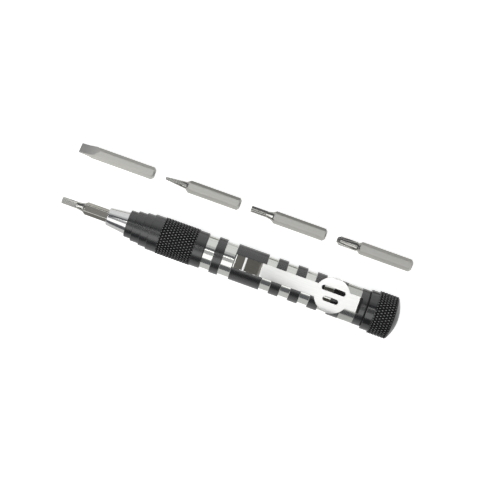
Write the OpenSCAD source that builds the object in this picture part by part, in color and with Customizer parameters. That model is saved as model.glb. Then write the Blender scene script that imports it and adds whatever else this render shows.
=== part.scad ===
// Pocket screwdriver with a turned barrel, a knurled grip collar, a spring clip,
// a screw cap over the bit store, one bit in the nose and four spare bits beside it.
// Millimetres. +X runs from the bit's tip to the cap, +Z is up and the clip faces up.
// The cap and the spare bits touch the plane z = 0.

/* [Bits] */
// Width of a bit's hexagonal shank across its flats
bit_af = 4; // [3.6:0.1:4.6]
// Whole length of a bit
bit_l = 28; // [24:0.5:34]
// Chamfer at the rear end of a bit
bit_chamfer = 0.8; // [0.2:0.1:1]
// Length of the cone between a bit's neck and its hexagon
shoulder_l = 1.1; // [0.6:0.1:2]
// Distance of the row of spare bits from the driver's axis
spare_row_y = 19.8; // [14:0.2:30]
// Gap between two spare bits in the row
spare_gap = 4.1; // [1:0.1:8]
// Length by which the row starts before the tip of the bit in the nose
spare_lead = 1.2; // [0:0.1:4]

/* [Bit tips] */
// Length of a turned tip, from its end to the cone in front of the hexagon
tip_l = 7.9; // [6:0.1:10]
// Length of the straight part of the hexagon and star tips
key_l = 4.6; // [3:0.1:6]
// Diameter of the flared neck behind a tip
neck_d = 3.1; // [2.6:0.1:3.5]
// Width across the flats of the hexagon tip in the nose
hex_tip_af = 2.1; // [1.5:0.1:2.4]
// Outer diameter of the six-lobed star tip
star_tip_d = 2.3; // [1.6:0.1:2.6]
// Diameter of the fine tip at its end
fine_tip_d = 1; // [0.6:0.1:1.6]
// Thickness of the fine tip's blade
fine_blade_t = 0.35; // [0.2:0.05:0.6]
// Diameter of the cross tip
cross_tip_d = 3.3; // [2.6:0.1:3.8]
// Diameter of the cross tip's blunt point
cross_point_d = 1.7; // [0.8:0.1:2]
// Thickness of the flat blade at its edge
blade_t = 0.6; // [0.3:0.05:1.2]
// Length of the flat blade's hollow grinding
blade_l = 7.5; // [5:0.1:10]

/* [Bit holder] */
// Diameter of the nose at its front end
nose_tip_d = 6.35; // [5.8:0.05:7.2]
// Diameter of the nose where it meets the collar
nose_base_d = 8.1; // [7.4:0.05:8.6]
// Length of the tapered nose
nose_l = 7.3; // [5:0.1:10]
// Length of bit that the socket takes
bit_hold = 11; // [8:0.1:13]
// Diameter of the magnet at the bottom of the socket
magnet_d = 3.8; // [2.5:0.1:3.9]
// Thickness of the magnet
magnet_t = 2; // [1:0.1:3]
// Length of the holder's shank inside the collar, in front of its flange
holder_shank_l = 14.5; // [12:0.1:17]
// Thickness of the flange at the holder's rear end
flange_t = 1.5; // [1:0.1:2.5]

/* [Grip collar] */
// Diameter of the first step behind the nose
first_step_d = 9.7; // [9:0.05:10.4]
// Length of the first step
first_step_l = 2.6; // [1.5:0.1:4]
// Diameter of the second step
second_step_d = 10.9; // [10.5:0.05:11.4]
// Length of the second step
second_step_l = 3.1; // [1.5:0.1:4]
// Diameter of the third step
third_step_d = 11.85; // [11.5:0.05:12.4]
// Length of the third step
third_step_l = 2.8; // [1.5:0.1:4]
// Diameter of the plain lands on both sides of the knurl
land_d = 12.8; // [12.5:0.05:13]
// Length of the land in front of the knurl
front_land_l = 3.9; // [2:0.1:6]
// Length of the land behind the knurl
rear_land_l = 3.7; // [2:0.1:6]
// Diameter over the knurl's points
grip_knurl_d = 13.4; // [13.2:0.05:13.8]
// Length of the knurl
grip_knurl_l = 12.4; // [8:0.1:16]
// Number of knurl diamonds around the collar
grip_diamonds = 40; // [32:4:48]
// Diameter of the screwed joint between collar and barrel
joint_d = 9.9; // [9.4:0.05:10.2]

/* [Knurl] */
// Axial pitch of the knurl diamonds
diamond_l = 2.06; // [1.5:0.02:3]
// Depth of the knurl's grooves
diamond_depth = 0.26; // [0.1:0.02:0.35]

/* [Barrel] */
// Diameter of the dark rings
barrel_d = 13; // [12.4:0.05:13.2]
// Diameter of the bright rings cut between them
bright_d = 11.8; // [11.4:0.05:12.2]
// Diameter of the long bright ring near the cap
tail_bright_d = 12.9; // [12.2:0.05:13]
// Length of the bright ring behind the collar
front_bright_l = 3.6; // [2:0.1:5]
// Length of the first dark ring
front_dark_l = 3.2; // [2:0.1:5]
// Length of the bright ring in front of the clip's ring
mid_bright_l = 4; // [2:0.1:6]
// Length of the dark ring that carries the clip
clip_ring_l = 11.2; // [10.8:0.1:14]
// Length of a bright ring in the row under the clip
row_bright_l = 3.5; // [2:0.1:5]
// Length of a dark ring in the row under the clip
row_dark_l = 3.6; // [2:0.1:5]
// Number of bright rings in the row under the clip
row_rings = 4; // [3:1:5]
// Length of the dark ring at the end of the row
last_dark_l = 4.2; // [2:0.1:6]
// Length of the bright ring near the cap
tail_bright_l = 5.3; // [3:0.1:7]
// Length of the dark ring at the barrel's end
tail_dark_l = 2.7; // [1.5:0.1:4]
// Bore of the bit store
store_d = 9.4; // [8.8:0.05:9.7]
// Depth of the bit store from the barrel's end
store_l = 57; // [50:0.5:58]

/* [End cap] */
// Diameter of the screwed spigot on the cap
spigot_d = 10.3; // [10:0.05:10.6]
// Length of the spigot in the barrel
spigot_l = 6; // [4:0.1:8]
// Diameter of the smooth neck in front of the knurl
cap_neck_d = 14.3; // [13.6:0.05:14.6]
// Length of the smooth neck
cap_neck_l = 2.8; // [1.5:0.1:4]
// Diameter over the cap's knurl
cap_knurl_d = 15.5; // [15:0.05:16.5]
// Length of the cap's knurled rim
cap_rim_l = 7; // [5:0.1:10]
// Number of knurl diamonds around the cap
cap_diamonds = 48; // [40:4:56]
// Height of the cap's dome
dome_l = 2.1; // [1:0.1:3]
// Thickness of the sealing ring
seal_t = 0.35; // [0.25:0.05:1]
// Width of the sealing ring
seal_w = 1.2; // [0.8:0.05:1.25]

/* [Clip] */
// Width of the clip's strip
clip_w = 4.8; // [4:0.1:4.9]
// Thickness of the clip's strip
clip_t = 0.9; // [0.6:0.05:1.2]
// Height of the gap between the barrel and the clip's arm
clip_gap = 1.5; // [0.8:0.1:2.5]
// Length of the foot from its front end to the bend
foot_l = 8.7; // [6:0.1:9.5]
// Distance of the foot from the front edge of its ring
foot_inset = 0.3; // [0.1:0.1:1]
// Length over which the strip climbs from the foot to the arm
riser_l = 0.9; // [0.5:0.1:2]
// Diameter of the round plate in the arm
disc_d = 12.4; // [9:0.1:13]
// Distance of the round plate's centre from the barrel's end
disc_setback = 12.5; // [9:0.1:15]
// Width of the tab behind the round plate
tab_w = 5.5; // [4.5:0.1:7]
// Distance of the clip's toe from the barrel's end
toe_setback = 1.9; // [0.5:0.1:2.4]
// Length over which the toe bends down to the barrel
toe_l = 1.15; // [0.6:0.1:2]
// Length of the long slot through the round plate
slot_l = 8.6; // [6:0.1:9.4]
// Length of the short slot beside it
short_slot_l = 5.6; // [3:0.1:8]
// Width of the slots
slot_w = 1.7; // [0.8:0.1:2]
// Distance of the slots from the arm's middle line
slot_offset = 1.75; // [1.3:0.05:2.2]

/* [Hidden] */

// Smoothness of the turned surfaces
$fn = 96;
// Radial clearance of pieces that fit into each other
slip = 0.05;
// Clearance between the clip's toe and the barrel
toe_clear = 0.06;
// Length by which a cut passes the surface that it opens
overrun = 1;
// Chamfer on the edges of the turned steps
edge = 0.2;
// Depth by which a knurled band is rooted in the body under it
knurl_root = 0.25;
// Height of the knurl's grooves over the body under it
knurl_lift = 0.05;
// Distance of the cap's knurl from the ends of its rim
cap_knurl_inset = 0.3;
// Depth of the flat that the clip's foot lies on, below the top of its ring
seat_depth = 0.5;
// Extra length of that flat behind the bend
seat_run = 1.3;
// Clearance under the clip's riser
riser_clear = 0.12;
// Height of the rib across the clip's foot over its ends, and width of its top
ridge_h = 0.45;
rib_w = 0.7;
// Length of the bend's bevel at the start of the arm
bend = 0.5;
// Number of straight steps in the dome's arc
dome_steps = 8;
// Room in front of and behind the sealing ring
seal_clear = 0.05;
// Width of the wheel that grinds a blade
wheel_w = 8;
// Radius and offset of a cross tip's flutes
flute_r = 0.8;
flute_offset = 1.55;
// Angle by which the flutes rise towards the shank, and angle from the top to the first flute
flute_rise = 7;
flute_turn = 45;
// Length of the cross tip's conical point
cross_point_l = 1.2;
// Diameter of the waist behind the cross tip
cross_waist_d = 2.8;
// Radius of the six hollows of the star tip
star_hollow_r = 0.42;
// Distance of a hollow's centre outside the star's circle, as a part of the hollow's radius
star_offset_share = 0.35;
// Angle from the clip's side to the flat blade's broad face
blade_turn = -30;
// Part of the clip foot's length in front of its ridge
ridge_share = 0.42;
// Diameter at the fine tip's root as a part of the neck
fine_root_share = 0.85;
// Part of a turned tip's length where the cross tip ends
cross_body_share = 0.93;

// Sizes worked out from those above
bit_e = bit_af / cos(30);
hex_tip_e = hex_tip_af / cos(30);
bit_out = bit_l - bit_hold;
spare_pitch = bit_l + spare_gap;
spare_count = 4;
collar_front_l = first_step_l + second_step_l + third_step_l + front_land_l;
collar_l = collar_front_l + grip_knurl_l + rear_land_l;
bands = concat(
    [front_bright_l, front_dark_l, mid_bright_l, clip_ring_l],
    [for (i = [1:row_rings]) each [row_bright_l, i < row_rings ? row_dark_l : last_dark_l]],
    [tail_bright_l, tail_dark_l]);
barrel_l = sum_to(bands, len(bands));
seal_gap = seal_t + 2 * seal_clear;
cap_x = barrel_l + seal_gap;
cap_rim_x = cap_x + cap_neck_l;
dome_x = cap_rim_x + cap_rim_l;
cap_body_d = cap_knurl_d - 2 * diamond_depth - 2 * knurl_lift;
dome_r = (pow(cap_body_d / 2, 2) + pow(dome_l, 2)) / (2 * dome_l);

// Places along the driver's axis, from the barrel's front face
nose_x = -collar_l - nose_l;
tip_x = nose_x - bit_out;
flange_x = -collar_l + holder_shank_l;
joint_l = -flange_x - flange_t;
clip_ring_x = sum_to(bands, 3);
foot_x = clip_ring_x + foot_inset;
bend_x = foot_x + foot_l;
disc_x = barrel_l - disc_setback;
toe_x = barrel_l - toe_setback;

// Heights over the driver's axis
seat_z = barrel_d / 2 - seat_depth;
bead_r = clip_t / 2;
bend_z = seat_z + bead_r;
arm_z = barrel_d / 2 + clip_gap;
toe_z = barrel_d / 2 + toe_clear;

// Place of the driver's axis in the part's frame, whose origin is under the middle of the whole set
row_x = tip_x - spare_lead;
far_x = max(dome_x + dome_l, row_x + spare_count * spare_pitch - spare_gap);
axis_x = -(row_x + far_x) / 2;
axis_y = -(spare_row_y + bit_e / 2 - cap_knurl_d / 2) / 2;
axis_z = cap_knurl_d / 2;

// Sum of the first n entries of a list
function sum_to(list, n) = n == 0 ? 0 : list[n - 1] + sum_to(list, n - 1);

// Radius of ring i of the barrel: even rings are bright, and the last bright one is nearly flush
function ring_r(i) =
    (i % 2 == 1 ? barrel_d : i == len(bands) - 2 ? tail_bright_d : bright_d) / 2;

// Outline of one turned step, given as [radius, place], with a chamfer on its front edge
function chamfered_step(r, x, end) = [[r - edge, x], [r, x + edge], [r, end]];

// Moves a piece from the driver's axis to its place
module on_axis() {
    translate([axis_x, axis_y, axis_z]) children();
}

// Moves a bit to its place in the row, where it lies on a flat
module in_row(i) {
    translate([axis_x + row_x + i * spare_pitch, axis_y + spare_row_y, bit_af / 2]) children();
}

// Solid of revolution about X, from points given as [radius, place]
module turned(points) {
    rotate([0, 90, 0]) rotate_extrude() polygon(points);
}

// Cylinder along X
module rod(d, x, l) {
    translate([x, 0, 0]) rotate([0, 90, 0]) cylinder(d = d, h = l);
}

// Hexagonal prism along X with a flat on top
module hex_prism(e, x, l) {
    translate([x, 0, 0]) rotate([0, 90, 0]) rotate([0, 0, 30]) cylinder(d = e, h = l, $fn = 6);
}

// Side outline in X and Z, made into a strip of width w about the middle plane
module strip(w) {
    rotate([90, 0, 0]) linear_extrude(w, center = true) children();
}

// Ring of knurl diamonds along X. Points lie on a grid where peaks and groove crossings alternate,
// and each cell is folded along the groove that crosses it.
module knurl_band(x, l, d, diamonds) {
    rows = max(2, round(2 * l / diamond_l));
    cols = 2 * diamonds;
    root_r = d / 2 - diamond_depth;
    inner_r = root_r - knurl_lift - knurl_root;
    function knurl_r(i, j) = i == 0 || i == rows || (i + j) % 2 == 1 ? root_r : d / 2;
    function ring_point(r, j, place) =
        [place, r * cos(360 * j / cols), r * sin(360 * j / cols)];
    function at(i, j) = i * cols + j % cols;
    inside = rows + 1;
    points = concat(
        [for (i = [0:rows], j = [0:cols - 1]) ring_point(knurl_r(i, j), j, x + l * i / rows)],
        [for (i = [0:1], j = [0:cols - 1]) ring_point(inner_r, j, x + l * i)]);
    outer_faces = [for (i = [0:rows - 1], j = [0:cols - 1]) each (i + j) % 2 == 0
        ? [[at(i, j), at(i + 1, j), at(i, j + 1)], [at(i, j + 1), at(i + 1, j), at(i + 1, j + 1)]]
        : [[at(i, j), at(i + 1, j + 1), at(i, j + 1)], [at(i, j), at(i + 1, j), at(i + 1, j + 1)]]];
    end_faces = [for (j = [0:cols - 1]) each [
        [at(0, j), at(0, j + 1), at(inside, j + 1)],
        [at(0, j), at(inside, j + 1), at(inside, j)],
        [at(rows, j), at(inside + 1, j), at(inside + 1, j + 1)],
        [at(rows, j), at(inside + 1, j + 1), at(rows, j + 1)]]];
    inner_faces = [for (j = [0:cols - 1]) each [
        [at(inside, j), at(inside, j + 1), at(inside + 1, j + 1)],
        [at(inside, j), at(inside + 1, j + 1), at(inside + 1, j)]]];
    polyhedron(points, concat(outer_faces, end_faces, inner_faces));
}

// Hexagonal shank of a bit, with a cone from diameter front_d and a chamfered rear end
module bit_shank(x, front_d) {
    intersection() {
        hex_prism(bit_e, x, bit_l - x);
        turned([[0, x], [front_d / 2, x], [bit_e / 2, x + shoulder_l], [bit_e / 2, bit_l - bit_chamfer],
                [bit_e / 2 - bit_chamfer, bit_l], [0, bit_l]]);
    }
}

// Neck that flares from diameter d at the end of a keyed tip to the shank
module flared_neck(d) {
    turned([[0, key_l], [d / 2, key_l], [neck_d / 2, tip_l], [neck_d / 2, tip_l + shoulder_l],
            [0, tip_l + shoulder_l]]);
}

// Bit with a hexagon tip, lying along X from its tip
module hex_tipped_bit() {
    hex_prism(hex_tip_e, 0, tip_l);
    flared_neck(hex_tip_af);
    bit_shank(tip_l, neck_d);
}

// Bit with a six-lobed star tip
module star_tipped_bit() {
    rotate([0, 90, 0]) linear_extrude(tip_l) difference() {
        circle(d = star_tip_d);
        for (k = [0:5]) rotate(60 * k) translate([star_tip_d / 2 + star_hollow_r * star_offset_share, 0])
            circle(star_hollow_r);
    }
    flared_neck(star_tip_d - 2 * star_hollow_r);
    bit_shank(tip_l, neck_d);
}

// Bit with a slender tip that two slanting flats make into a fine blade
module fine_tipped_bit() {
    root_d = neck_d * fine_root_share;
    difference() {
        turned([[0, 0], [fine_tip_d / 2, 0], [root_d / 2, tip_l], [neck_d / 2, tip_l + shoulder_l],
                [0, tip_l + shoulder_l]]);
        for (side = [0, 1]) mirror([0, 0, side]) strip(neck_d + overrun) polygon([
            [-overrun, fine_blade_t / 2], [0, fine_blade_t / 2], [tip_l, root_d / 2],
            [tip_l, root_d], [-overrun, root_d]]);
    }
    bit_shank(tip_l, neck_d);
}

// Bit with a cross tip: a blunt cone with four flutes and a waist behind it
module cross_tipped_bit() {
    body_l = tip_l * cross_body_share;
    difference() {
        turned([[0, 0], [cross_point_d / 2, 0], [cross_tip_d / 2, cross_point_l],
                [cross_tip_d / 2, body_l], [cross_waist_d / 2, tip_l],
                [cross_waist_d / 2, tip_l + shoulder_l], [0, tip_l + shoulder_l]]);
        for (k = [0:3]) rotate([flute_turn + 90 * k, 0, 0]) translate([-overrun, 0, flute_offset])
            rotate([0, 90 - flute_rise, 0]) cylinder(r = flute_r, h = tip_l + overrun);
    }
    bit_shank(tip_l, cross_waist_d);
}

// Bit with a broad blade, hollow-ground on both sides towards two corners of the hexagon
module flat_tipped_bit() {
    land_l = blade_t;
    rise = (bit_e - blade_t) / 2;
    wheel_r = (pow(blade_l - land_l, 2) + pow(rise, 2)) / (2 * rise);
    difference() {
        bit_shank(0, bit_e);
        rotate([blade_turn, 0, 0]) for (side = [0, 1]) mirror([0, 0, side]) {
            translate([land_l, 0, blade_t / 2 + wheel_r]) rotate([90, 0, 0])
                cylinder(r = wheel_r, h = wheel_w, center = true);
            translate([-overrun, -wheel_w / 2, blade_t / 2])
                cube([land_l + overrun, wheel_w, wheel_r]);
        }
    }
}

// Black tube with bright rings, a bit store from the rear and a solid joint stub in front
module barrel() {
    rings = [for (i = [0:len(bands) - 1]) each [
        [ring_r(i), sum_to(bands, i)], [ring_r(i), sum_to(bands, i + 1)]]];
    color([0.09, 0.09, 0.09]) on_axis() difference() {
        turned(concat([[0, -joint_l], [joint_d / 2 - edge, -joint_l], [joint_d / 2, edge - joint_l],
                       [joint_d / 2, 0]], rings, [[0, barrel_l]]));
        rod(store_d, barrel_l - store_l, store_l + overrun);
        rod(spigot_d + 2 * slip, barrel_l - spigot_l - overrun, spigot_l + 2 * overrun);
        translate([clip_ring_x - overrun, -barrel_d / 2, seat_z])
            cube([foot_inset + foot_l + seat_run + overrun, barrel_d, seat_depth + overrun]);
    }
}

// Stepped collar with a knurled grip, screwed onto the barrel's stub over the holder's flange
module grip_collar() {
    first_x = -collar_l;
    second_x = first_x + first_step_l;
    third_x = second_x + second_step_l;
    land_x = third_x + third_step_l;
    color([0.07, 0.07, 0.07]) on_axis() {
        turned(concat(
            [[nose_base_d / 2 + slip, first_x]],
            chamfered_step(first_step_d / 2, first_x, second_x),
            chamfered_step(second_step_d / 2, second_x, third_x),
            chamfered_step(third_step_d / 2, third_x, land_x),
            chamfered_step(land_d / 2, land_x, -edge),
            [[land_d / 2 - edge, 0], [joint_d / 2 + slip, 0], [joint_d / 2 + slip, flange_x],
             [nose_base_d / 2 + slip, flange_x]]));
        knurl_band(-rear_land_l - grip_knurl_l, grip_knurl_l, grip_knurl_d, grip_diamonds);
    }
}

// Bright nose with a hexagonal socket, and a flanged shank that the collar holds
module bit_holder() {
    color([0.82, 0.83, 0.84]) on_axis() difference() {
        turned([[0, nose_x], [nose_tip_d / 2 - edge, nose_x], [nose_tip_d / 2, nose_x + edge],
                [nose_base_d / 2, -collar_l], [nose_base_d / 2, flange_x], [joint_d / 2, flange_x],
                [joint_d / 2, flange_x + flange_t], [0, flange_x + flange_t]]);
        hex_prism(bit_e + 2 * slip / cos(30), nose_x - overrun, bit_hold + magnet_t + overrun);
    }
}

// Disc magnet on the floor of the socket
module socket_magnet() {
    color([0.6, 0.61, 0.62]) on_axis() rod(magnet_d, nose_x + bit_hold, magnet_t);
}

// Bit in the nose
module hex_bit() {
    color([0.62, 0.62, 0.6]) on_axis() translate([tip_x, 0, 0]) hex_tipped_bit();
}

// Foot of the clip, roof-shaped with a flat-topped rib across it and a round end at the bend
module clip_foot() {
    ridge_x = foot_x + foot_l * ridge_share;
    foot_top = seat_z + clip_t;
    color([0.4, 0.4, 0.38]) on_axis() strip(clip_w) {
        polygon([[foot_x, seat_z], [bend_x, seat_z], [bend_x, foot_top],
                 [ridge_x + rib_w / 2, foot_top + ridge_h], [ridge_x - rib_w / 2, foot_top + ridge_h],
                 [foot_x + edge, foot_top], [foot_x, foot_top - edge]]);
        translate([bend_x, bend_z]) circle(bead_r);
    }
}

// Outline of the clip's arm from above
module arm_outline() {
    arm_x = bend_x + riser_l;
    tab_x = toe_x - toe_l;
    difference() {
        union() {
            translate([arm_x, -clip_w / 2]) square([disc_x - arm_x, clip_w]);
            translate([disc_x, 0]) circle(d = disc_d);
            translate([disc_x, -tab_w / 2]) square([tab_x - disc_x, tab_w]);
        }
        translate([disc_x, slot_offset]) slot(slot_l);
        translate([disc_x, -slot_offset]) slot(short_slot_l);
    }
}

// Round-ended slot along the clip
module slot(l) {
    square([l - slot_w, slot_w], center = true);
    for (side = [-1, 1]) translate([side * (l - slot_w) / 2, 0]) circle(d = slot_w);
}

// Sprung arm of the clip: a riser at the bend, a strip with a round plate, a tab and a toe
module clip_arm() {
    arm_x = bend_x + riser_l;
    tab_x = toe_x - toe_l;
    arm_top = arm_z + clip_t;
    color([0.86, 0.86, 0.86]) on_axis() {
        translate([0, 0, arm_z]) linear_extrude(clip_t) arm_outline();
        strip(clip_w) difference() {
            polygon([[bend_x, seat_z + riser_clear], [bend_x + clip_t, seat_z + riser_clear],
                     [arm_x + clip_t, arm_z], [arm_x + clip_t, arm_top], [arm_x + bend, arm_top],
                     [arm_x, arm_top - bend], [bend_x, bend_z]]);
            translate([bend_x, bend_z]) circle(bead_r + slip);
        }
        strip(tab_w) polygon([[tab_x - clip_t, arm_z], [tab_x - clip_t, arm_top], [tab_x, arm_top],
                              [toe_x, toe_z + bead_r], [toe_x, toe_z], [toe_x - bead_r, toe_z]]);
    }
}

// Domed cap with a knurled rim and a spigot that screws into the bit store
module end_cap() {
    dome_angle = asin(cap_body_d / 2 / dome_r);
    dome = [for (k = [0:dome_steps]) let (a = dome_angle * (1 - k / dome_steps))
        [dome_r * sin(a), dome_x + dome_l - dome_r * (1 - cos(a))]];
    color([0.07, 0.07, 0.07]) on_axis() {
        turned(concat(
            [[0, barrel_l - spigot_l], [spigot_d / 2 - edge, barrel_l - spigot_l],
             [spigot_d / 2, barrel_l - spigot_l + edge], [spigot_d / 2, cap_x],
             [cap_neck_d / 2 - edge, cap_x], [cap_neck_d / 2, cap_x + edge],
             [cap_neck_d / 2, cap_rim_x], [cap_body_d / 2 - edge, cap_rim_x],
             [cap_body_d / 2, cap_rim_x + edge]],
            dome));
        knurl_band(cap_rim_x + cap_knurl_inset, cap_rim_l - 2 * cap_knurl_inset, cap_knurl_d,
                   cap_diamonds);
    }
}

// Flat rubber ring between the barrel and the cap, with a round outer edge
module cap_seal() {
    inner_r = spigot_d / 2 + seal_clear;
    color([0.12, 0.12, 0.12]) on_axis() translate([barrel_l + seal_gap / 2, 0, 0]) rotate([0, 90, 0])
        rotate_extrude() {
            translate([inner_r, -seal_t / 2]) square([seal_w - seal_t / 2, seal_t]);
            translate([inner_r + seal_w - seal_t / 2, 0]) circle(d = seal_t);
        }
}

// The four spare bits, in their row from the tip's end to the cap's end
module flat_bit() {
    color([0.62, 0.62, 0.6]) in_row(0) flat_tipped_bit();
}

module fine_bit() {
    color([0.62, 0.62, 0.6]) in_row(1) fine_tipped_bit();
}

module star_bit() {
    color([0.62, 0.62, 0.6]) in_row(2) star_tipped_bit();
}

module cross_bit() {
    color([0.62, 0.62, 0.6]) in_row(3) cross_tipped_bit();
}

barrel();
grip_collar();
bit_holder();
socket_magnet();
hex_bit();
clip_foot();
clip_arm();
end_cap();
cap_seal();
flat_bit();
fine_bit();
star_bit();
cross_bit();
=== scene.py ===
# %% [markdown]
# # A pocket screwdriver, from turned stock to studio picture
#
# The object is a pen-sized driver: a black tube with bright rings, a knurled collar, a polished nose
# with a bit in it, a steel clip, a screw cap, and four spare bits on the table. The CAD model gives
# every size and place, in metres, and this script gives each piece its finish. Turned pieces are
# spun again from their profiles with small rounded edges, because light shows a machined part
# mostly by its edges. Prismatic pieces are copies of the CAD meshes with their edges broken.

# %% The frame
import math

import bmesh
import bpy
from mathutils import Matrix, Vector


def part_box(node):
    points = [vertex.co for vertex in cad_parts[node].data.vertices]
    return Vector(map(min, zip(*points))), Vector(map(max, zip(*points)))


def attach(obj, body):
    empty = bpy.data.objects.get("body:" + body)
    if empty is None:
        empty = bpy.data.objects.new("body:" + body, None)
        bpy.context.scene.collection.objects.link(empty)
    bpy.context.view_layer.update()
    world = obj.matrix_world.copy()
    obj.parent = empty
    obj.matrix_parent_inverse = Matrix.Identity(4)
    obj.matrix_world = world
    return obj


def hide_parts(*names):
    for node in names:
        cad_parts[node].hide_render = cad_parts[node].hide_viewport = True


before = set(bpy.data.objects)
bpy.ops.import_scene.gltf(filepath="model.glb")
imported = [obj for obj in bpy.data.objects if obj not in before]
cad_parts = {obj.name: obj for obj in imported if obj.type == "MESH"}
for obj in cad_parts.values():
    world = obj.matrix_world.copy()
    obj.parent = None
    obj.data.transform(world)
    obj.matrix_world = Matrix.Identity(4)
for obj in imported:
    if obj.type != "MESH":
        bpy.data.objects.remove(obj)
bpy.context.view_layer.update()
MM = 0.001

cap_low, cap_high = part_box("end_cap")
AXIS_Y = (cap_low[1] + cap_high[1]) / 2
AXIS_Z = (cap_low[2] + cap_high[2]) / 2
print("driver axis at y, z in mm:", round(AXIS_Y / MM, 3), round(AXIS_Z / MM, 3))

# %% [markdown]
# ## The camera
#
# The photograph is a flat lay: the camera looks almost straight down from half a metre, leans a
# little towards the cap and the near side, and is turned so that the driver runs down to the right.
# The ring edges bow to the left at the collar and to the right at the cap, which gives the distance.
# Building the camera's three axes by hand keeps each of those facts as one named value.

# %% Camera
LEAN_TO_CAP = math.radians(1.3)
LEAN_TO_NEAR_SIDE = math.radians(3.2)
DRIVER_SLOPE = math.radians(19.76)
FRAME_WIDTH = 167.2 * MM
LENS_MM = 108
SENSOR_MM = 36
# The picture's centre, from a point on the axis this far before the barrel's end
PIVOT_BEFORE_END = 49.75 * MM
CENTRE_RIGHT = 3.62 * MM
CENTRE_UP = 6.90 * MM

to_camera = Vector((math.tan(LEAN_TO_CAP), -math.tan(LEAN_TO_NEAR_SIDE), 1)).normalized()
along = (Vector((1, 0, 0)) - to_camera * to_camera.x).normalized()
across = to_camera.cross(along)
right = along * math.cos(DRIVER_SLOPE) + across * math.sin(DRIVER_SLOPE)
up = across * math.cos(DRIVER_SLOPE) - along * math.sin(DRIVER_SLOPE)
pivot = Vector((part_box("barrel")[1][0] - PIVOT_BEFORE_END, AXIS_Y, AXIS_Z))
looked_at = pivot + right * CENTRE_RIGHT + up * CENTRE_UP
eye = looked_at + to_camera * FRAME_WIDTH * LENS_MM / SENSOR_MM

camera_data = bpy.data.cameras.new("camera")
camera_data.lens = LENS_MM
camera_data.sensor_width = SENSOR_MM
camera = bpy.data.objects.new("camera", camera_data)
camera.matrix_world = Matrix.Translation(eye) @ Matrix((right, up, to_camera)).transposed().to_4x4()
bpy.context.collection.objects.link(camera)
bpy.context.scene.camera = camera
print("camera is", round((eye - looked_at).length, 3), "m away")

# %% [markdown]
# ## Light and floor
#
# Polished metal has no colour of its own to show, it shows the room. The bright rings in the
# photograph tell what stood round the object: a wide soft box on the near side, a narrow strip on the
# far side, a pale wall beyond it, a box beyond the nose and a dark room elsewhere. The lamps are placed
# by the angle at which the rings would see them. Three of them are flagged off, as a photographer would
# do it with black card, so that they reach only some of the pieces. The floor is white paper. It adds
# its own white only for the rays that look at it, so it stays white without throwing more light on the
# object, and it keeps the shadow.


# %% Nodes and colours
def linear(hex_colour):
    """Linear RGBA of an sRGB hex colour such as '#c8c8c8'."""
    channels = [int(hex_colour[i:i + 2], 16) / 255 for i in (1, 3, 5)]
    return [c / 12.92 if c <= 0.04045 else ((c + 0.055) / 1.055) ** 2.4 for c in channels] + [1]


def add(tree, kind, inputs=(), stops=(), **settings):
    """Adds a node with its options, its inputs by name or number, and a ramp's two (place, colour) stops."""
    made = tree.nodes.new(kind)
    if stops:
        for element, (place, colour) in zip(made.color_ramp.elements, stops):
            element.position, element.color = place, linear(colour)
    for name, value in settings.items():
        setattr(made, name, value)
    for key, value in dict(inputs).items():
        if isinstance(value, bpy.types.NodeSocket):
            tree.links.new(value, made.inputs[key])
        else:
            made.inputs[key].default_value = value
    return made


# %% World
world = bpy.data.worlds.new("studio")
bpy.context.scene.world = world
world.use_nodes = True
tree = world.node_tree
tree.nodes.clear()
seen = add(tree, "ShaderNodeLightPath").outputs["Is Camera Ray"]
lit = add(tree, "ShaderNodeMix", {"Factor": seen, 6: linear("#727478"), 7: (1, 1, 1, 1)}, data_type="RGBA")
shone = add(tree, "ShaderNodeBackground", {"Color": lit.outputs[2], "Strength": 1})
add(tree, "ShaderNodeOutputWorld", {"Surface": shone.outputs[0]})
print("world is a dim room, and white where the camera looks past everything")


# %% Lamps
LAMP_DISTANCE = 0.9


def soft_box(name, tilt_deg, spread_deg, reach_deg, radiance, shift_deg=0.0):
    """Area lamp seen from the object as spread_deg wide and reach_deg long, tilted to the near side
    and shifted towards the cap."""
    tilt = math.radians(tilt_deg)
    shift = math.radians(shift_deg)
    back = Vector((math.sin(shift), -math.sin(tilt), math.cos(tilt))).normalized()
    side = (Vector((1, 0, 0)) - back * back.x).normalized()
    lamp = bpy.data.lights.new(name, "AREA")
    lamp.shape = "RECTANGLE"
    lamp.size = 2 * LAMP_DISTANCE * math.tan(math.radians(reach_deg / 2))
    lamp.size_y = 2 * LAMP_DISTANCE * math.tan(math.radians(spread_deg / 2))
    lamp.energy = radiance * math.pi * lamp.size * lamp.size_y
    stand = bpy.data.objects.new(name, lamp)
    place = Vector((0, AXIS_Y, AXIS_Z)) + back * LAMP_DISTANCE
    turned = Matrix((side, back.cross(side), back)).transposed().to_4x4()
    stand.matrix_world = Matrix.Translation(place) @ turned
    bpy.context.collection.objects.link(stand)
    print(name, "gives", round(lamp.energy, 2), "W")
    return stand


# Each row gives a lamp's name, tilt, spread, reach, radiance and shift, as soft_box takes them
for row in (("near_soft_box", 34.5, 33, 52, 1.58, 2),
            ("near_halo", 34, 48, 60, 0.14, 2),
            ("far_strip", -8.6, 5, 36, 3.0, -1),
            ("top_fill", 4, 20, 52, 0.45, 4),
            ("nose_side_box", 18, 44, 26, 3.4, -60)):
    soft_box(*row)

# The flagged ones: only the driver sees the pale wall, and only the clip's arm sees the small box above it
wall_sees = bpy.data.collections.new("lit by the wall")
clip_sees = bpy.data.collections.new("lit from the cap's side")
for *row, sees in (("far_wall", -67, 46, 90, 0.93, 0, wall_sees),
                   ("far_wall_top", -36, 16, 90, 0.54, 0, wall_sees),
                   ("cap_side_box", -10, 26, 17, 3.65, 8, clip_sees)):
    soft_box(*row).light_linking.receiver_collection = sees

# %% Floor
FLOOR_SIZE = 3.0
FLOOR_OWN_WHITE = 0.76
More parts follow.
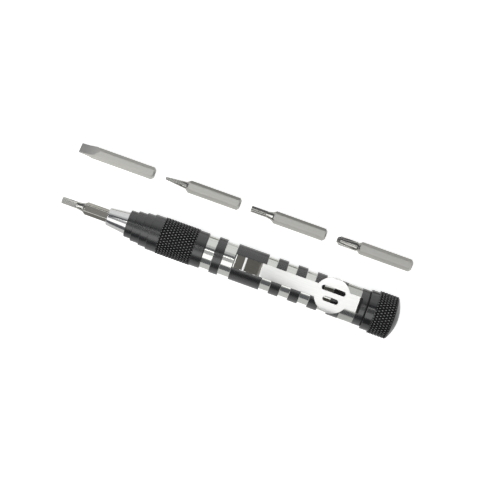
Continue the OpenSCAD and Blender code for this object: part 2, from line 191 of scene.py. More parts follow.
# Paper close to a mirror lies in the object's own shade, so polished metal sees it dimmer, and it is
# dimmest in the shade behind the row of bits
NEAR_SHARE, FAR_SHARE, SHADE_SHARE = 0.32, 0.76, 0.20
SHADE_HALF, FADE_INSIDE, FADE_OUTSIDE = 5.5 * MM, 2 * MM, 4 * MM
OPEN_AFTER = 8 * MM
shade_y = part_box("star_bit")[1][1] + SHADE_HALF
floor_mesh = bpy.data.meshes.new("floor")
bm = bmesh.new()
bmesh.ops.create_grid(bm, x_segments=1, y_segments=1, size=FLOOR_SIZE / 2)
bm.to_mesh(floor_mesh)
bm.free()
floor = bpy.data.objects.new("floor", floor_mesh)
bpy.context.collection.objects.link(floor)

paper = bpy.data.materials.new("white_paper")
paper.use_nodes = True
tree = paper.node_tree
tree.nodes.clear()
light_path = add(tree, "ShaderNodeLightPath")
mirrored = add(tree, "ShaderNodeMath", {0: light_path.outputs["Is Glossy Ray"],
                                        1: light_path.outputs["Is Transmission Ray"]}, operation="MAXIMUM")
place = add(tree, "ShaderNodeTexCoord").outputs["Object"]
across_floor = add(tree, "ShaderNodeSeparateXYZ", {0: place}).outputs["Y"]
open_share = add(tree, "ShaderNodeMapRange", {
    "Value": across_floor, "From Min": AXIS_Y, "From Max": AXIS_Y + OPEN_AFTER,
    "To Min": NEAR_SHARE, "To Max": FAR_SHARE})
from_shade = add(tree, "ShaderNodeMath", {0: across_floor, 1: shade_y}, operation="SUBTRACT")
off_shade = add(tree, "ShaderNodeMath", {0: from_shade.outputs[0]}, operation="ABSOLUTE")
share = add(tree, "ShaderNodeMapRange", {
    "Value": off_shade.outputs[0], "From Min": SHADE_HALF - FADE_INSIDE,
    "From Max": SHADE_HALF + FADE_OUTSIDE, "To Min": SHADE_SHARE, "To Max": open_share.outputs[0]})
dimmed = add(tree, "ShaderNodeMath", {0: mirrored.outputs[0], 1: share.outputs[0]}, operation="MULTIPLY")
looked = add(tree, "ShaderNodeMath", {0: light_path.outputs["Is Camera Ray"], 1: dimmed.outputs[0]},
             operation="MAXIMUM")
own = add(tree, "ShaderNodeMath", {0: looked.outputs[0], 1: FLOOR_OWN_WHITE}, operation="MULTIPLY")
white = add(tree, "ShaderNodeEmission", {"Color": (1, 1, 1, 1), "Strength": own.outputs[0]})
matt = add(tree, "ShaderNodeBsdfDiffuse", {"Color": linear("#e6e6e4")})
both = add(tree, "ShaderNodeAddShader", {0: white.outputs[0], 1: matt.outputs[0]})
add(tree, "ShaderNodeOutputMaterial", {"Surface": both.outputs[0]})
floor_mesh.materials.append(paper)
bpy.context.scene.view_settings.view_transform = "Standard"
print("floor of", FLOOR_SIZE, "m")

# %% [markdown]
# ## Finishes
#
# Each finish starts from the real material. A metal's base colour is its reflectance. Black anodising is
# no metal at the surface: it is a skin of dyed aluminium oxide, whose refractive index of 1.77 makes a
# dim mirror that brightens at a glancing angle. Patterns read Object coordinates in metres, so a scale is
# one over a real size. Grain finer than a pixel is drawn coarser, and that is said beside it.


# %% Metal finishes
# Most of a noise texture's values lie between these two
NOISE_LOW, NOISE_HIGH = 0.3, 0.7


def finish(name, dark, light, grain_mm, roughness, bump_mm, stretch=(1, 1, 1), oxide_ior=None):
    """Metal, or a clear oxide over a dyed base, that varies along a stretched grain of the given size."""
    made = bpy.data.materials.new(name)
    made.use_nodes = True
    tree = made.node_tree
    tree.nodes.clear()
    place = add(tree, "ShaderNodeTexCoord").outputs["Object"]
    stretched = add(tree, "ShaderNodeMapping", {"Vector": place, "Scale": stretch}).outputs[0]
    grain = add(tree, "ShaderNodeTexNoise", {"Vector": stretched, "Scale": 1 / (grain_mm * MM), "Detail": 3})
    colour = add(tree, "ShaderNodeValToRGB", {"Fac": grain.outputs["Fac"]},
                 [(NOISE_LOW, dark), (NOISE_HIGH, light)])
    rough = add(tree, "ShaderNodeMapRange", {
        "Value": grain.outputs["Fac"], "From Min": NOISE_LOW, "From Max": NOISE_HIGH,
        "To Min": roughness[0], "To Max": roughness[1]})
    relief = add(tree, "ShaderNodeBump", {
        "Height": grain.outputs["Fac"], "Strength": 1, "Distance": bump_mm * MM})
    kind = {"IOR": oxide_ior} if oxide_ior else {"Metallic": 1}
    shader = add(tree, "ShaderNodeBsdfPrincipled", {
        "Base Color": colour.outputs["Color"], "Roughness": rough.outputs[0],
        "Normal": relief.outputs[0]} | kind)
    add(tree, "ShaderNodeOutputMaterial", {"Surface": shader.outputs[0]})
    return made


# Black anodised aluminium: the satin oxide is even, so the grain only softens the mirror a little
black_anodised = finish("black_anodised_aluminium", "#030303", "#060606", 0.35, (0.25, 0.31), 0.0004,
                        oxide_ior=1.77)
# The cap is polished before it is dyed, so its neck mirrors the lamps more sharply
black_polished = finish("black_polished_aluminium", "#060606", "#0a0a0a", 0.35, (0.15, 0.19), 0.0003,
                        oxide_ior=1.7)
# The tops of the knurl's diamonds are drawn in a lighter grey metal than the dye: a painted highlight where
# they catch the lamps
knurl_top_highlight = finish("painted_highlight_black_aluminium", "#7e7e7e", "#888888", 0.35, (0.24, 0.30), 0.0003)
# Down in the knurl's grooves a darker, duller finish paints the shade between the diamonds
groove_shade_black = finish("black_groove_painted_shade", "#040404", "#070707", 0.35, (0.5, 0.6), 0.0004,
                      oxide_ior=1.3)
# Bright-cut aluminium: a diamond tool leaves rings round the axis, drawn at 0.2 mm so that they show
bright_cut = finish("bright_cut_aluminium", "#c0c1bc", "#cacbc6", 0.2, (0.10, 0.16), 0.0004,
                    (1, 0, 0))
# The tail ring is drawn greyer and a little rougher than the other bright rings
turned_tail = finish("turned_aluminium", "#aaaba6", "#b2b3ae", 0.3, (0.15, 0.22), 0.0004, (1, 0, 0))
# Polished nickel on the nose: nearly a mirror
polished_nickel = finish("polished_nickel", "#c2c2c1", "#cacac9", 0.5, (0.07, 0.11), 0.0002)
# Brushed spring steel: scratches run along the strip
brushed_steel = finish("brushed_spring_steel", "#a6a6a4", "#b0b0ae", 0.16, (0.30, 0.36), 0.0004,
                       (0.03, 1, 1))
# The clip's foot and the arm's underside and near edge are drawn in a dark steel: painted dark reflection and
# shade
dark_reflection_steel = finish("painted_dark_reflection_spring_steel", "#5a5852", "#64625c", 0.2, (0.30, 0.40), 0.0004,
                        (0.05, 1, 1))
# A near-white steel paints glints on the foot's rib, its front edge and two spots of its near edge, and
# on the arm's start and far edge
glint_steel = finish("painted_glint_spring_steel", "#f0f0ee", "#f6f6f4", 0.2, (0.38, 0.44), 0.0002)
# Tumbled tool steel of the bits: a fine even satin
satin_steel = finish("satin_tool_steel", "#bebdb7", "#c8c7c1", 0.25, (0.40, 0.48), 0.0006)
# The bit in the nose is drawn darker and smoother than the spare bits, and its near flats darker still as
# painted shade
nose_bit_steel = finish("nose_bit_tool_steel", "#8e8c84", "#97958d", 0.25, (0.07, 0.11), 0.0004)
near_shade_steel = finish("painted_near_shade_tool_steel", "#6c6a64", "#76746e", 0.25, (0.07, 0.11), 0.0004)
# The bar was drawn through a hexagonal die; the far flats of the spare bits are drawn darker as painted shade
far_shade_steel = finish("painted_far_shade_tool_steel", "#8c8b85", "#96958f", 0.25, (0.40, 0.48), 0.0006)
far_shade_satin_steel = finish("painted_far_shade_satin_tool_steel", "#a9a8a2", "#b3b2ac", 0.25, (0.40, 0.48), 0.0006)
# Turned and ground tips of the bits: nearly mirrors. On the bit in the nose the same finish paints highlights
# on the corners
ground_and_glint_steel = finish("ground_and_glint_tool_steel", "#a8a7a2", "#adaca7", 0.3, (0.18, 0.21), 0.0001)
# The flat blade is ground on a coarse wheel, across its length
wheel_ground_steel = finish("wheel_ground_tool_steel", "#d8d7d2", "#dedcd8", 0.2, (0.54, 0.60), 0.0003,
                            (1, 0.1, 0.1))
print("finishes:", [m.name for m in bpy.data.materials if m.name.endswith(("steel", "aluminium", "nickel"))])

# %% Seal rubber
# Nitrile rubber is matt, and a faint bloom in patches of this size keeps it from looking painted
BLOOM_SIZE = 0.6 * MM
seal_rubber = bpy.data.materials.new("nitrile_rubber")
seal_rubber.use_nodes = True
tree = seal_rubber.node_tree
tree.nodes.clear()
place = add(tree, "ShaderNodeTexCoord").outputs["Object"]
bloom = add(tree, "ShaderNodeTexNoise", {"Vector": place, "Scale": 1 / BLOOM_SIZE, "Detail": 2})
tone = add(tree, "ShaderNodeValToRGB", {"Fac": bloom.outputs["Fac"]},
           [(NOISE_LOW, "#151515"), (NOISE_HIGH, "#202020")])
shader = add(tree, "ShaderNodeBsdfPrincipled", {"Base Color": tone.outputs["Color"], "Roughness": 0.55})
add(tree, "ShaderNodeOutputMaterial", {"Surface": shader.outputs[0]})
print("the seal is", seal_rubber.name)

# %% [markdown]
# ## Turned pieces
#
# A lathe makes solids of revolution, so one function spins a profile about the driver's axis. A
# profile is a list of corners: place along the axis, radius, the size of the rounding, and the finish
# of the stretch that follows. Every corner is rounded, because a real edge always has a small radius
# that catches the light. The normals are set from the profile itself, so long plain stretches stay
# straight in the reflections.


# %% Spinning a profile
ROUNDING_STEPS = 4
SPIN_STEPS = 160


def rounded(corners):
    """Points of a profile with its corners rounded: (place, radius, normal, finish's number) in mm."""
    points = []
    for k, (x, r, size, after) in enumerate(corners):
        here = Vector((x, r))
        came = (here - Vector(corners[k - 1][:2])).normalized() if k else None
        goes = (Vector(corners[k + 1][:2]) - here).normalized() if k + 1 < len(corners) else None
        if came is None or goes is None:
            flat = goes or came
            points.append((x, r, Vector((-flat.y, flat.x)), after))
            continue
        turn = came.angle_signed(goes)
        before = corners[k - 1][3]
        if abs(turn) < 1e-6:
            points.append((x, r, Vector((-came.y, came.x)), after))
            continue
        start = here - came * size * abs(math.tan(turn / 2))
        normal = Vector((-came.y, came.x))
        centre = start - normal * size * (1 if turn > 0 else -1)
        for step in range(ROUNDING_STEPS + 1):
            facing = normal.copy()
            facing.rotate(Matrix.Rotation(-turn * step / ROUNDING_STEPS, 2))
            spot = centre + facing * size * (1 if turn > 0 else -1)
            points.append((spot.x, spot.y, facing, before if step < ROUNDING_STEPS / 2 else after))
    return points


def spin(name, corners, finishes):
    """Mesh object of a profile turned about the driver's axis. A radius of 0 closes it at a pole, and a
    profile that ends where it starts closes on itself."""
    points = rounded(corners)
    if corners[0] == corners[-1]:
        points.pop()
    verts, normals, rings = [], [], []
    for x, r, facing, _ in points:
        count = 1 if r <= 0 else SPIN_STEPS
        rings.append(range(len(verts), len(verts) + count))
        for j in range(count):
            a = 2 * math.pi * j / SPIN_STEPS
            out = Vector((0, math.cos(a), math.sin(a)))
            verts.append(Vector((x * MM, AXIS_Y, AXIS_Z)) + out * r * MM)
            normals.append(Vector((facing.x, 0, 0)) + out * facing.y if r > 0 else Vector((facing.x, 0, 0)))
    faces, slots = [], []
    for k in range(len(points) - (corners[0] != corners[-1])):
        a, b = rings[k], rings[(k + 1) % len(rings)]
        for j in range(SPIN_STEPS):
            n = (j + 1) % SPIN_STEPS
            loop = [a[j % len(a)], a[n % len(a)], b[n % len(b)], b[j % len(b)]]
            faces.append(list(dict.fromkeys(loop)))
            slots.append(points[k][3])
    mesh = bpy.data.meshes.new(name)
    mesh.from_pydata(verts, [], faces)
    mesh.polygons.foreach_set("material_index", slots)
    mesh.polygons.foreach_set("use_smooth", [True] * len(faces))
    for material in finishes:
        mesh.materials.append(material)
    mesh.normals_split_custom_set_from_vertices(normals)
    made = bpy.data.objects.new(name, mesh)
    bpy.context.collection.objects.link(made)
    print(name, "has", len(faces), "faces")
    return made


# %% [markdown]
# ### The barrel
#
# The tube is turned, anodised black, and then the bright rings are cut through the black skin, so the
# walls of each groove are bright too. Inside is the blind store for the bits. A flat is milled on top
# for the clip's foot. Its points are the ones that lie above the flat, pressed down onto it.

# %% Barrel
BARREL_R, BRIGHT_R, TAIL_BRIGHT_R = 6.5, 5.9, 6.45
STUB_R, STORE_R, MOUTH_R = 4.95, 4.7, 5.2
STORE_L, MOUTH_L = 57, 7
RING_LENGTHS = [3.6, 3.2, 4.0, 11.2] + [3.5, 3.6] * 3 + [3.5, 4.2] + [5.3, 2.7]
EDGE, TAIL_EDGE = 0.14, 0.02
FLAT_Z, FLAT_BEFORE_FOOT, FLAT_BEHIND_BEND, FLAT_WALL = 6.0, 1, 1.3, 0.02
BLACK, BRIGHT, TAIL = 0, 1, 2

barrel_low, barrel_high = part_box("barrel")
barrel_end = barrel_high[0] / MM
barrel_start = barrel_end - sum(RING_LENGTHS)
foot_low, foot_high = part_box("clip_foot")
flat_end = foot_high[0] / MM + FLAT_BEHIND_BEND
corners = [(barrel_low[0] / MM, 0, EDGE, BRIGHT), (barrel_low[0] / MM, STUB_R, EDGE, BRIGHT),
           (barrel_start, STUB_R, EDGE, BRIGHT)]
x = barrel_start
for i, length in enumerate(RING_LENGTHS):
    dark = i % 2 == 1
    near_cap = i == len(RING_LENGTHS) - 2
    r = BARREL_R if dark else TAIL_BRIGHT_R if near_cap else BRIGHT_R
    size = TAIL_EDGE if near_cap or i == len(RING_LENGTHS) - 1 else EDGE
    after = BLACK if dark else TAIL if near_cap else BRIGHT
    corners.append((x, r, size, after))
    if x < flat_end < x + length:
        corners += [(flat_end - FLAT_WALL, r, size, after), (flat_end + FLAT_WALL, r, size, after)]
    corners.append((x + length, r, size, BRIGHT))
    x += length
corners += [(barrel_end, MOUTH_R, EDGE, BRIGHT), (barrel_end - MOUTH_L, MOUTH_R, EDGE, BRIGHT),
            (barrel_end - MOUTH_L, STORE_R, EDGE, BRIGHT), (barrel_end - STORE_L, STORE_R, EDGE, BRIGHT),
            (barrel_end - STORE_L, 0, EDGE, BRIGHT)]
barrel = spin("barrel_tube", corners, [black_anodised, bright_cut, turned_tail])

for vertex in barrel.data.vertices:
    on_flat = foot_low[0] - FLAT_BEFORE_FOOT * MM < vertex.co.x < flat_end * MM
    if on_flat and vertex.co.z > AXIS_Z + FLAT_Z * MM:
        vertex.co.z = AXIS_Z + FLAT_Z * MM
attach(barrel, "driver")
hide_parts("barrel")

# %% [markdown]
# ### The grip collar and its knurl
#
# The collar steps down towards the nose so that fingers can spin it. A knurling wheel presses the
# diamonds into the black surface: two sets of grooves cross, and a small pyramid stays between them.
# What repeats like that is a job for Geometry Nodes: four-sided studs on a ring, rounded by one
# subdivision because rolled diamonds have soft tops, the ring on a line, each row turned half a step
# further than the one before, and the ends of the band cut square by clamping its points between two
# corners. The studs' tops are a lighter grey metal as a painted highlight, and the grooves between the
# studs are a darker finish as painted shade.


# %% Knurl nodes
# Half widths of a stud across its corners, as shares of the stud's size
STUD_TOP, STUD_FOOT = 0.4, 1.15


def knurl_tree():
    """Geometry Nodes tree that sets diamond studs in staggered rows round a line along X."""
    tree = bpy.data.node_groups.new("knurl", "GeometryNodeTree")
    tree.interface.new_socket("Geometry", in_out="OUTPUT", socket_type="NodeSocketGeometry")
    for name, kind in (("Start", "Vector"), ("End", "Vector"), ("Root radius", "Float"),
                       ("Stud size", "Vector"), ("Around", "Int"), ("Rows", "Int"),
                       ("Low corner", "Vector"), ("High corner", "Vector"),
                       ("Finish", "Material"), ("Top painted highlight", "Material")):
        tree.interface.new_socket(name, in_out="INPUT", socket_type="NodeSocket" + kind)
    given = add(tree, "NodeGroupInput").outputs
    index = add(tree, "GeometryNodeInputIndex").outputs[0]
    step = add(tree, "ShaderNodeMath", {0: 2 * math.pi, 1: given["Around"]}, operation="DIVIDE").outputs[0]
    half_step = add(tree, "ShaderNodeMath", {0: step, 1: 0.5}, operation="MULTIPLY").outputs[0]
    stud_turn = add(tree, "ShaderNodeMath", {0: index, 1: step}, operation="MULTIPLY").outputs[0]
    row_turn = add(tree, "ShaderNodeMath", {0: index, 1: half_step}, operation="MULTIPLY").outputs[0]

    cone = add(tree, "GeometryNodeMeshCone", {
        "Vertices": 4, "Radius Top": STUD_TOP, "Radius Bottom": STUD_FOOT, "Depth": 1})
    soft = add(tree, "GeometryNodeSubdivisionSurface", {"Mesh": cone.outputs["Mesh"], "Level": 1})
    smooth = add(tree, "GeometryNodeSetShadeSmooth", {"Geometry": soft.outputs[0]})
    stud = add(tree, "GeometryNodeTransform", {"Geometry": smooth.outputs[0], "Scale": given["Stud size"],
                                               "Rotation": (0, math.pi / 2, 0)})
    ring = add(tree, "GeometryNodeMeshCircle", {"Vertices": given["Around"], "Radius": given["Root radius"]})
    studs = add(tree, "GeometryNodeInstanceOnPoints", {
        "Points": ring.outputs[0], "Instance": stud.outputs[0],
        "Rotation": add(tree, "ShaderNodeCombineXYZ", {2: stud_turn}).outputs[0]})
    row = add(tree, "GeometryNodeTransform", {"Geometry": studs.outputs[0], "Rotation": (0, math.pi / 2, 0)})
    line = add(tree, "GeometryNodeMeshLine", {"Count": given["Rows"], "Start Location": given["Start"],
                                              "Offset": given["End"]}, mode="END_POINTS")
    rows = add(tree, "GeometryNodeInstanceOnPoints", {
        "Points": line.outputs[0], "Instance": row.outputs[0],
        "Rotation": add(tree, "ShaderNodeCombineXYZ", {0: row_turn}).outputs[0]})
    real = add(tree, "GeometryNodeRealizeInstances", {0: rows.outputs[0]})
    here = add(tree, "GeometryNodeInputPosition").outputs[0]
    above = add(tree, "ShaderNodeVectorMath", {0: here, 1: given["Low corner"]}, operation="MAXIMUM")
    inside = add(tree, "ShaderNodeVectorMath", {0: above.outputs[0], 1: given["High corner"]},
                 operation="MINIMUM")
    square = add(tree, "GeometryNodeSetPosition", {
        "Geometry": real.outputs[0], "Position": inside.outputs[0]})
    finished = add(tree, "GeometryNodeSetMaterial", {
        "Geometry": square.outputs[0], "Material": given["Finish"]})
    # The studs' tops take the lighter metal: a painted highlight
    topped = add(tree, "GeometryNodeSetMaterial", {
        "Geometry": finished.outputs[0], "Selection": cone.outputs["Top"], "Material": given["Top painted highlight"]})
    add(tree, "NodeGroupOutput", {0: topped.outputs[0]})
    return tree


def grown(name, tree, values):
    """Plain mesh object of what a Geometry Nodes tree makes with the given named inputs."""
    seed = bpy.data.objects.new(name, bpy.data.meshes.new(name))
    bpy.context.collection.objects.link(seed)
    modifier = seed.modifiers.new("grow", "NODES")
    modifier.node_group = tree
    for item in tree.interface.items_tree:
        if item.in_out == "INPUT" and item.name in values:
            modifier[item.identifier] = values[item.name]
    shape = bpy.data.meshes.new_from_object(seed.evaluated_get(bpy.context.evaluated_depsgraph_get()))
    seed.modifiers.clear()
    seed.data = shape
    shape.name = name
    print(name, "has", len(shape.polygons), "faces")
    return seed


knurl = knurl_tree()
KNURL_DEPTH, SUNK = 0.45, 0.03


def knurl_band(name, start, length, peak_r, around, rows):
    """Knurl studs on a band of the driver, from its start in mm, with their points at radius peak_r."""
    root_r = peak_r - KNURL_DEPTH - SUNK
    stud = (length / (rows - 1), math.pi * root_r / around, KNURL_DEPTH + SUNK)
    low, high = start * MM, (start + length) * MM
    return grown(name, knurl, {
        "Start": (low, AXIS_Y, AXIS_Z), "End": (high, AXIS_Y, AXIS_Z), "Root radius": root_r * MM,
        "Stud size": [side * MM for side in stud], "Around": around, "Rows": rows,
        "Low corner": (low, -1, -1), "High corner": (high, 1, 1), "Finish": black_anodised,
        "Top painted highlight": knurl_top_highlight})


# %% Grip collar
STEPS = [(4.85, 2.6), (5.45, 3.1), (5.925, 2.8)]
LAND_R, FRONT_LAND_L, KNURL_L, REAR_LAND_L = 6.4, 3.9, 12.4, 3.7
GRIP_KNURL_R, GRIP_DIAMONDS, GRIP_ROWS = 6.7, 40, 13
# Bores for the nose's shank and for the barrel's stub, which has 0.05 mm of air round it
SHANK_BORE_R, STUB_BORE_R, STUB_BORE_L = 4.1, STUB_R + 0.05, 13
STEP_EDGE, INNER_EDGE, FINE_EDGE = 0.25, 0.06, 0.05
# GROOVE numbers the knurl's band under the studs, which takes the groove finish as painted shade
GROOVE = 1

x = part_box("grip_collar")[0][0] / MM
corners = [(x, SHANK_BORE_R, FINE_EDGE, BLACK)]
for r, length in STEPS + [(LAND_R, FRONT_LAND_L + KNURL_L + REAR_LAND_L)]:
    corners += [(x, r, STEP_EDGE, BLACK), (x + length, r, INNER_EDGE, BLACK)]
    x += length
corners[-1] = (x, LAND_R, STEP_EDGE, BLACK)
band = x - REAR_LAND_L - KNURL_L
root_r = GRIP_KNURL_R - KNURL_DEPTH
corners[-1:-1] = [(band, LAND_R, FINE_EDGE, BLACK), (band, root_r, FINE_EDGE, GROOVE),
                  (band + KNURL_L, root_r, FINE_EDGE, BLACK), (band + KNURL_L, LAND_R, FINE_EDGE, BLACK)]
corners += [(x, STUB_BORE_R, FINE_EDGE, BLACK), (x - STUB_BORE_L, STUB_BORE_R, FINE_EDGE, BLACK),
            (x - STUB_BORE_L, SHANK_BORE_R, FINE_EDGE, BLACK), corners[0]]
collar = spin("grip_collar_body", corners, [black_anodised, groove_shade_black])
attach(collar, "driver")
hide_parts("grip_collar")

grip_knurl = knurl_band("grip_knurl", band, KNURL_L, GRIP_KNURL_R, GRIP_DIAMONDS, GRIP_ROWS)
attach(grip_knurl, "driver")

# %% [markdown]
# ### The end cap
#
# The cap is a short turned drum with a smooth neck, a knurled rim and a shallow dome. Its spigot
# screws into the barrel. The thread shows only while the cap is being unscrewed, and a spiral with a
# three-cornered profile is all that it needs.


# %% Thread nodes
COIL_STEPS, RIDGE_CORNERS = 48, 3


def thread_tree():
    """Geometry Nodes tree that winds a three-cornered ridge along the driver's axis."""
    tree = bpy.data.node_groups.new("thread", "GeometryNodeTree")
    tree.interface.new_socket("Geometry", in_out="OUTPUT", socket_type="NodeSocketGeometry")
    for name, kind in (("Start", "Vector"), ("Length", "Float"), ("Turns", "Float"), ("Radius", "Float"),
                       ("Ridge", "Float"), ("Finish", "Material")):
        tree.interface.new_socket(name, in_out="INPUT", socket_type="NodeSocket" + kind)
    given = add(tree, "NodeGroupInput").outputs
    coil = add(tree, "GeometryNodeCurveSpiral", {
        "Resolution": COIL_STEPS, "Rotations": given["Turns"], "Height": given["Length"],
        "Start Radius": given["Radius"], "End Radius": given["Radius"]})
    ridge = add(tree, "GeometryNodeCurvePrimitiveCircle", {
        "Resolution": RIDGE_CORNERS, "Radius": given["Ridge"]})
    wound = add(tree, "GeometryNodeCurveToMesh", {
        "Curve": coil.outputs[0], "Profile Curve": ridge.outputs[0], "Fill Caps": True})
    laid = add(tree, "GeometryNodeTransform", {
        "Geometry": wound.outputs[0], "Translation": given["Start"], "Rotation": (0, math.pi / 2, 0)})
    real = add(tree, "GeometryNodeRealizeInstances", {0: laid.outputs[0]})
    finished = add(tree, "GeometryNodeSetMaterial", {
        "Geometry": real.outputs[0], "Material": given["Finish"]})
    add(tree, "NodeGroupOutput", {0: finished.outputs[0]})
    return tree


# %% End cap
NECK_R, NECK_L, RIM_L, DOME_L = 7.15, 2.8, 7.0, 2.1
CAP_KNURL_R, CAP_DIAMONDS, CAP_ROWS, CAP_KNURL_INSET = 7.75, 48, 7, 0.3
SPIGOT_L, SPIGOT_CORE_R = 6.45, 4.7
THREAD_R, THREAD_TURNS, THREAD_INSET, RIDGE_R = 4.9, 5, 0.6, 0.24
RIM_R, CAP_ROOT_R = 7.48, CAP_KNURL_R - KNURL_DEPTH
DOME_STEPS, DOME_ROUNDING = 10, 2.0

start = cap_low[0] / MM
shoulder = start + SPIGOT_L
rim = shoulder + NECK_L
dome = rim + RIM_L
dome_radius = (RIM_R ** 2 + DOME_L ** 2) / (2 * DOME_L)
dome_angle = math.asin(RIM_R / dome_radius)
corners = [(start, 0, 0.1, BLACK), (start, SPIGOT_CORE_R, 0.25, BLACK), (shoulder, SPIGOT_CORE_R, 0.1, BLACK),
           (shoulder, NECK_R, 0.3, BLACK), (rim, NECK_R, 0.08, BLACK), (rim, RIM_R, 0.2, BLACK),
           (rim + CAP_KNURL_INSET, RIM_R, FINE_EDGE, BLACK),
           (rim + CAP_KNURL_INSET, CAP_ROOT_R, FINE_EDGE, GROOVE),
           (dome - CAP_KNURL_INSET, CAP_ROOT_R, FINE_EDGE, BLACK),
           (dome - CAP_KNURL_INSET, RIM_R, FINE_EDGE, BLACK), (dome, RIM_R, 0.5, BLACK)]
for k in range(1, DOME_STEPS + 1):
    a = dome_angle * (1 - k / DOME_STEPS)
    corners.append((dome + DOME_L - dome_radius * (1 - math.cos(a)), dome_radius * math.sin(a),
                    DOME_ROUNDING, BLACK))
corners[-1] = (dome + DOME_L, 0, 0.1, BLACK)
cap = spin("end_cap_body", corners, [black_polished, groove_shade_black])
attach(cap, "cap")
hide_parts("end_cap")

cap_knurl = knurl_band("cap_knurl", rim + CAP_KNURL_INSET, RIM_L - 2 * CAP_KNURL_INSET, CAP_KNURL_R,
                       CAP_DIAMONDS, CAP_ROWS)
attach(cap_knurl, "cap")

cap_thread = grown("cap_thread", thread_tree(), {
    "Start": (cap_low[0] + THREAD_INSET * MM, AXIS_Y, AXIS_Z), "Length": THREAD_TURNS * MM,
    "Turns": THREAD_TURNS, "Radius": THREAD_R * MM, "Ridge": RIDGE_R * MM, "Finish": black_anodised})
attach(cap_thread, "cap")

# %% [markdown]
# ## Pieces with broken edges
#
# The nose, the clip and the bits have flats, slots and a hexagonal socket that a lathe can't make.
# Their CAD meshes are right, but their edges are knife sharp. A copy is welded, its flat triangles
# are joined to whole faces, and every sharp edge gets a small bevel. The normals are weighted by the
# areas of the faces, so the flats stay flat in the reflections and only the bevels turn. The clip's
# strip is cut crosswise and lengthwise after that, so that it can bend and take painted glints in places.


# %% Breaking edges
SHARP = math.radians(24)
FLAT = math.radians(0.6)
WELD = 0.002 * MM
LONG_EDGE = 12 * MM


def cut(bm, normal, places):
    """Cuts a mesh across an axis at the given places."""
    for place in places:
        bmesh.ops.bisect_plane(bm, geom=bm.verts[:] + bm.edges[:] + bm.faces[:], dist=WELD,
                               plane_no=normal, plane_co=Vector(normal) * place)


def broken_edges(name, node, body, finishes, bevel_mm, segments=2, choose=None, shape=None,
                 corner_mm=0):
    """Copy of a CAD node with bevelled edges, cut or bent by shape after that. Long edges are rounded by
    corner_mm first, and choose gives the number of each face's finish."""
    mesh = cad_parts[node].data.copy()
    mesh.name = name
    mesh.materials.clear()
    bm = bmesh.new()
    bm.from_mesh(mesh)
    bmesh.ops.remove_doubles(bm, verts=bm.verts, dist=WELD)
    bmesh.ops.dissolve_limit(bm, angle_limit=FLAT, verts=bm.verts, edges=bm.edges)
    for least, width_mm in ((LONG_EDGE, corner_mm), (0, bevel_mm)):
        sharp = [e for e in bm.edges if width_mm and len(e.link_faces) == 2
                 and e.calc_face_angle() > SHARP and e.calc_length() > least]
        bmesh.ops.bevel(bm, geom=sharp, offset=width_mm * MM, segments=segments, profile=0.5,
                        affect="EDGES", clamp_overlap=True)
    if shape:
        shape(bm)
    bm.normal_update()
    for face in bm.faces:
        face.smooth = True
        face.material_index = choose(face) if choose else 0
    bm.to_mesh(mesh)
    bm.free()
    for material in finishes:
        mesh.materials.append(material)
    weighted = [Vector() for _ in mesh.vertices]
    for face in mesh.polygons:
        for corner in face.vertices:
            weighted[corner] += face.normal * face.area
    mesh.normals_split_custom_set_from_vertices([total.normalized() for total in weighted])
    made = bpy.data.objects.new(name, mesh)
    bpy.context.collection.objects.link(made)
    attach(made, body)
    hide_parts(node)
    print(name, "has", len(mesh.polygons), "faces")
    return made


# %% Nose, magnet and seal
broken_edges("nose", "bit_holder", "driver", [polished_nickel], 0.1)
broken_edges("magnet_disc", "socket_magnet", "driver", [polished_nickel], 0.1)
broken_edges("seal_ring", "cap_seal", "seal", [seal_rubber], 0.01)

# %% Clip's foot
RIB_TOP = 0.12 * MM
# Parts of a face's normal: below LEVEL it doesn't turn, and from SLIGHT or TURNED on it belongs to an edge
LEVEL, SLIGHT, TURNED, UPRIGHT = 0.05, 0.1, 0.2, 0.97
# Along its near edge the foot gets painted glints at the rib's end and before the bend, given from its front
GLINT_SPOTS = [(foot_low[0] + start * MM, foot_low[0] + end * MM) for start, end in ((2.6, 4.9), (7.4, 8.5))]


def cut_at_spots(bm):
    """Cuts the foot where the painted glints of its edge start and end."""
    cut(bm, (1, 0, 0), [place for spot in GLINT_SPOTS for place in spot])


def foot_finish(face):
    """1 for the faces painted with glints, and 0 for those painted dark."""
    middle = face.calc_center_median()
    rib = middle.z > foot_high[2] - RIB_TOP and abs(face.normal.x) < LEVEL
    front_edge = face.normal.x < -TURNED and TURNED < face.normal.z < UPRIGHT
    near_edge = face.normal.y < -SLIGHT and face.normal.z > SLIGHT
    glinting = near_edge and any(start < middle.x < end for start, end in GLINT_SPOTS)
    return int(rib or front_edge or glinting)


# The foot is drawn in the dark steel as painted dark reflection, with painted glints on its rib and edges
broken_edges("clip_foot_strip", "clip_foot", "driver", [dark_reflection_steel, glint_steel],
             0.2, 3, foot_finish, cut_at_spots)

# %% Clip's arm
# The spring strip is bowed a little between its bend and its toe, so it shades along its length
BOW, BOW_STEPS, BOW_INSET = 0.4 * MM, 14, 1.5 * MM
# Pressing also curls it down at its sides, from just behind the bend until the curl has run out
CURL, CURL_STEPS = 0.10 * MM, 6
CURL_START, CURL_END, CURL_FADE = 2 * MM, 18.5 * MM, 14 * MM
# The sides of the round plate roll down where they stand out beyond the strip, sharply at the rim
RIM_DROP, RIM_POWER, RIM_CUTS = 0.15 * MM, 6, (0.45, 0.6, 0.7, 0.78, 0.85, 0.9, 0.95)
FACES_DOWN = 0.5
STRIP_HALF = (foot_high[1] - foot_low[1]) / 2
arm_low, arm_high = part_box("clip_arm")
rim_reach = arm_high[1] - AXIS_Y - STRIP_HALF
bow_start, bow_end = arm_low[0] + BOW_INSET, arm_high[0] - BOW_INSET


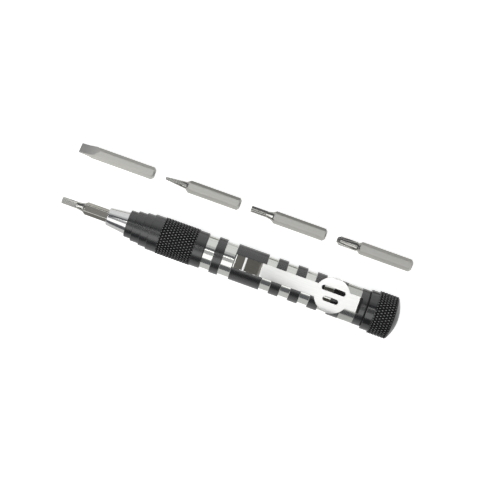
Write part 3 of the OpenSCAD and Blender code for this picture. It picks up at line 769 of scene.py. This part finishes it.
def bowed(bm):
    """Cuts the arm into short stretches and narrow strips, lifts it along a parabola and curls its sides."""
    middle, half = (bow_start + bow_end) / 2, (bow_end - bow_start) / 2
    cut(bm, (1, 0, 0), [bow_start + 2 * half * k / BOW_STEPS for k in range(BOW_STEPS + 1)])
    lines = [STRIP_HALF * (2 * k / CURL_STEPS - 1) for k in range(1, CURL_STEPS)]
    lines += [side * (STRIP_HALF + share * rim_reach) for share in RIM_CUTS for side in (-1, 1)]
    cut(bm, (0, 1, 0), [AXIS_Y + line for line in lines])
    for vertex in bm.verts:
        vertex.co.z += BOW * max(0, 1 - ((vertex.co.x - middle) / half) ** 2)
        behind = vertex.co.x - bow_start
        curled = max(0, min(1, behind / CURL_START, (CURL_END - behind) / CURL_FADE))
        off = abs(vertex.co.y - AXIS_Y)
        vertex.co.z -= CURL * curled * min(1, off / STRIP_HALF) ** 2
        vertex.co.z -= RIM_DROP * max(0, (off - STRIP_HALF) / rim_reach) ** RIM_POWER


def arm_finish(face):
    """0 for the brushed face, 1 for the underside and near edge painted dark, 2 for the edges painted with
    glints.
    """
    if face.normal.z < -FACES_DOWN or face.normal.y < -TURNED:
        return 1
    start = face.normal.x < -TURNED and face.calc_center_median().x < bow_start
    return 2 if start or face.normal.y > TURNED else 0


# The arm's underside and near edge are painted dark, and its start and far edge carry painted glints
broken_edges("clip_arm_strip", "clip_arm", "clip",
             [brushed_steel, dark_reflection_steel, glint_steel], 0.28, 3, arm_finish, bowed)

# %% [markdown]
# ## The bits
#
# All five bits are cut from the same hexagonal steel. The shanks keep a tumbled satin skin, and the
# tips are ground after that, so they are brighter. Each bit gets the ground finish up to the place
# where its hexagon starts. The flats on one side are drawn darker as painted shade: the far ones on
# the spare bits, the near ones on the bit in the nose, whose corners get a painted highlight.

# %% Bits
TIP_LENGTH = 8.4 * MM
BIT_BEVEL_MM, USED_CORNER_MM, NEW_CORNER_MM = 0.07, 0.32, 0.14
SIDE_FLAT = 0.85
NEAR, FAR = -1, 1


def bit_finish(face, ground_to, shaded_side, glinting):
    """1 on the ground tip and on corners with a painted highlight, 2 on the flats of the side painted in
    shade, and 0 elsewhere.
    """
    corner = SLIGHT < abs(face.normal.y) < SIDE_FLAT
    if face.calc_center_median().x < ground_to or glinting and corner:
        return 1
    return 2 if face.normal.y * shaded_side > SIDE_FLAT else 0


# The third finish of each row paints shade on the flats of one side
for node, body, corner_mm, shaded_side, finishes in (
        ("hex_bit", "bit_in_nose", USED_CORNER_MM, NEAR, [nose_bit_steel, ground_and_glint_steel, near_shade_steel]),
        ("flat_bit", "spare_flat", NEW_CORNER_MM, FAR, [satin_steel, wheel_ground_steel, far_shade_satin_steel]),
        ("fine_bit", "spare_fine", NEW_CORNER_MM, FAR, [satin_steel, ground_and_glint_steel, far_shade_steel]),
        ("star_bit", "spare_star", NEW_CORNER_MM, FAR, [satin_steel, ground_and_glint_steel, far_shade_steel]),
        ("cross_bit", "spare_cross", NEW_CORNER_MM, FAR, [satin_steel, ground_and_glint_steel, far_shade_satin_steel])):
    ground_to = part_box(node)[0][0] + TIP_LENGTH
    broken_edges(node + "_steel", node, body, finishes, BIT_BEVEL_MM, corner_mm=corner_mm,
                 choose=lambda face: bit_finish(face, ground_to, shaded_side, node == "hex_bit"))

# %% [markdown]
# ## What the flagged lights reach
#
# All pieces are there now, so those that the flagged lights may reach can be put on their lists.

# %% Flagged lights
for name in ("barrel_tube", "grip_collar_body", "grip_knurl", "nose", "clip_foot_strip", "clip_arm_strip",
             "seal_ring", "end_cap_body", "cap_knurl", "cap_thread"):
    wall_sees.objects.link(bpy.data.objects[name])
clip_sees.objects.link(bpy.data.objects["clip_arm_strip"])
